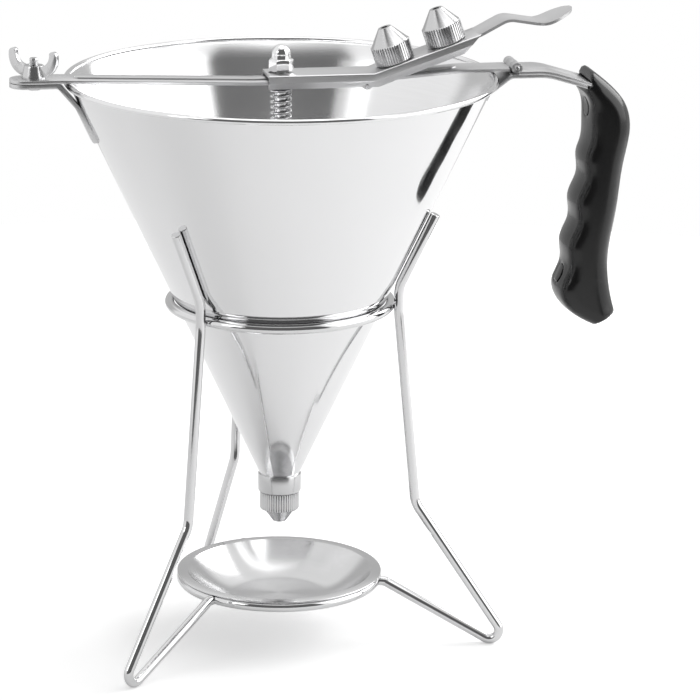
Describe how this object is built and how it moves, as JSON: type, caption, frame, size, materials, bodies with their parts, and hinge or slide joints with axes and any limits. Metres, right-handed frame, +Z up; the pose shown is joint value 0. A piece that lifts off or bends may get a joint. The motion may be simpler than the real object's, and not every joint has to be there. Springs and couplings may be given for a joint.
{
  "type": "batter dispenser",
  "caption": "Conical metal batter funnel with a spring valve worked by a thumb lever, hung in a three-legged wire stand over a round drip tray.",
  "frame": {"origin": "on the standing surface, on the funnel's vertical axis", "axes": "+Z up, +X along the bridge bar towards the handle, +Y towards the back of the picture"},
  "size_m": [0.29, 0.2068, 0.3005],
  "materials": {
    "mirror_steel": "mirror polished stainless steel",
    "brushed_steel": "finely brushed stainless steel",
    "bright_wire": "bright plated wire",
    "satin_sheet": "satin pressed stainless sheet",
    "turned_steel": "turned stainless steel",
    "spring_steel": "bright spring wire",
    "black_grip": "black satin moulded plastic",
    "valve_seal": "pale food-safe seal"
  },
  "bodies": {
    "stand": {"stand_leg_1": "bright_wire", "stand_leg_2": "bright_wire", "stand_leg_3": "bright_wire", "cone_ring": "bright_wire", "tray_ring": "bright_wire"},
    "tray": {"drip_tray": "brushed_steel"},
    "funnel": {"funnel_cone": "mirror_steel", "outlet_collar": "turned_steel", "stud_bracket": "satin_sheet", "wing_stud": "turned_steel", "handle_bracket": "satin_sheet", "hinge_strap": "satin_sheet", "hinge_pin": "turned_steel", "handle_grip": "black_grip", "grip_plugs": "black_grip", "grip_screws": "turned_steel"},
    "bridge": {"bridge_bar": "satin_sheet", "fulcrum_knuckle": "turned_steel"},
    "wing": {"wing_nut": "turned_steel"},
    "lever": {"thumb_lever": "satin_sheet", "pivot_pin": "turned_steel", "nozzle_posts": "turned_steel"},
    "rod_link": {"upper_washer": "turned_steel", "return_spring": "spring_steel"},
    "valve": {"valve_rod": "turned_steel", "valve_plug": "valve_seal", "acorn_nut": "mirror_steel", "spring_collar": "turned_steel", "collar_pin": "turned_steel"},
    "outlet_nozzle": {"fitted_nozzle": "turned_steel"},
    "spare_small": {"spare_nozzle_small": "turned_steel"},
    "spare_large": {"spare_nozzle_large": "turned_steel"}
  },
  "joints": [
    {"name": "funnel_lift", "type": "slide", "parent": "stand", "child": "funnel", "axis": [0, 0, 1], "range_m": [0, 0.12]},
    {"name": "tray_lift", "type": "slide", "parent": "stand", "child": "tray", "axis": [0, 0, 1], "range_m": [0, 0.025]},
    {"name": "bridge_swing", "type": "hinge", "parent": "funnel", "child": "bridge", "pos_m": [0.1093, 0, 0.272], "axis": [0, 1, 0], "range_deg": [0, 8]},
    {"name": "rod_lean", "type": "hinge", "parent": "bridge", "child": "rod_link", "pos_m": [0, 0, 0.26795], "axis": [0, 1, 0], "range_deg": [-5.6, 0]},
    {"name": "valve_lift", "type": "slide", "parent": "rod_link", "child": "valve", "axis": [0, 0, 1], "range_m": [0, 0.0076], "stiffness_N_per_m": 350, "springref_m": -0.01, "deforming": ["return_spring"]},
    {"name": "lever_press", "type": "hinge", "parent": "bridge", "child": "lever", "pos_m": [0.0385, 0, 0.2658], "axis": [0, 1, 0], "range_deg": [0, 9]},
    {"name": "wing_nut_turn", "type": "hinge", "parent": "bridge", "child": "wing", "pos_m": [-0.1138, 0, 0.278], "axis": [0, 0, 1], "continuous": true},
    {"name": "nozzle_turn", "type": "hinge", "parent": "funnel", "child": "outlet_nozzle", "pos_m": [0, 0, 0.07069], "axis": [0, 0, 1], "continuous": true},
    {"name": "spare_small_turn", "type": "hinge", "parent": "lever", "child": "spare_small", "pos_m": [0.0535, 0, 0.27552], "axis": [-0.3223, 0, 0.9466], "continuous": true},
    {"name": "spare_large_turn", "type": "hinge", "parent": "lever", "child": "spare_large", "pos_m": [0.0775, 0, 0.28369], "axis": [-0.3223, 0, 0.9466], "continuous": true}
  ],
  "couplings": [
    {"joint": "valve_lift", "follows": "lever_press", "m_per_rad": 0.0455},
    {"joint": "rod_lean", "follows": "bridge_swing", "ratio": -0.68}
  ]
}
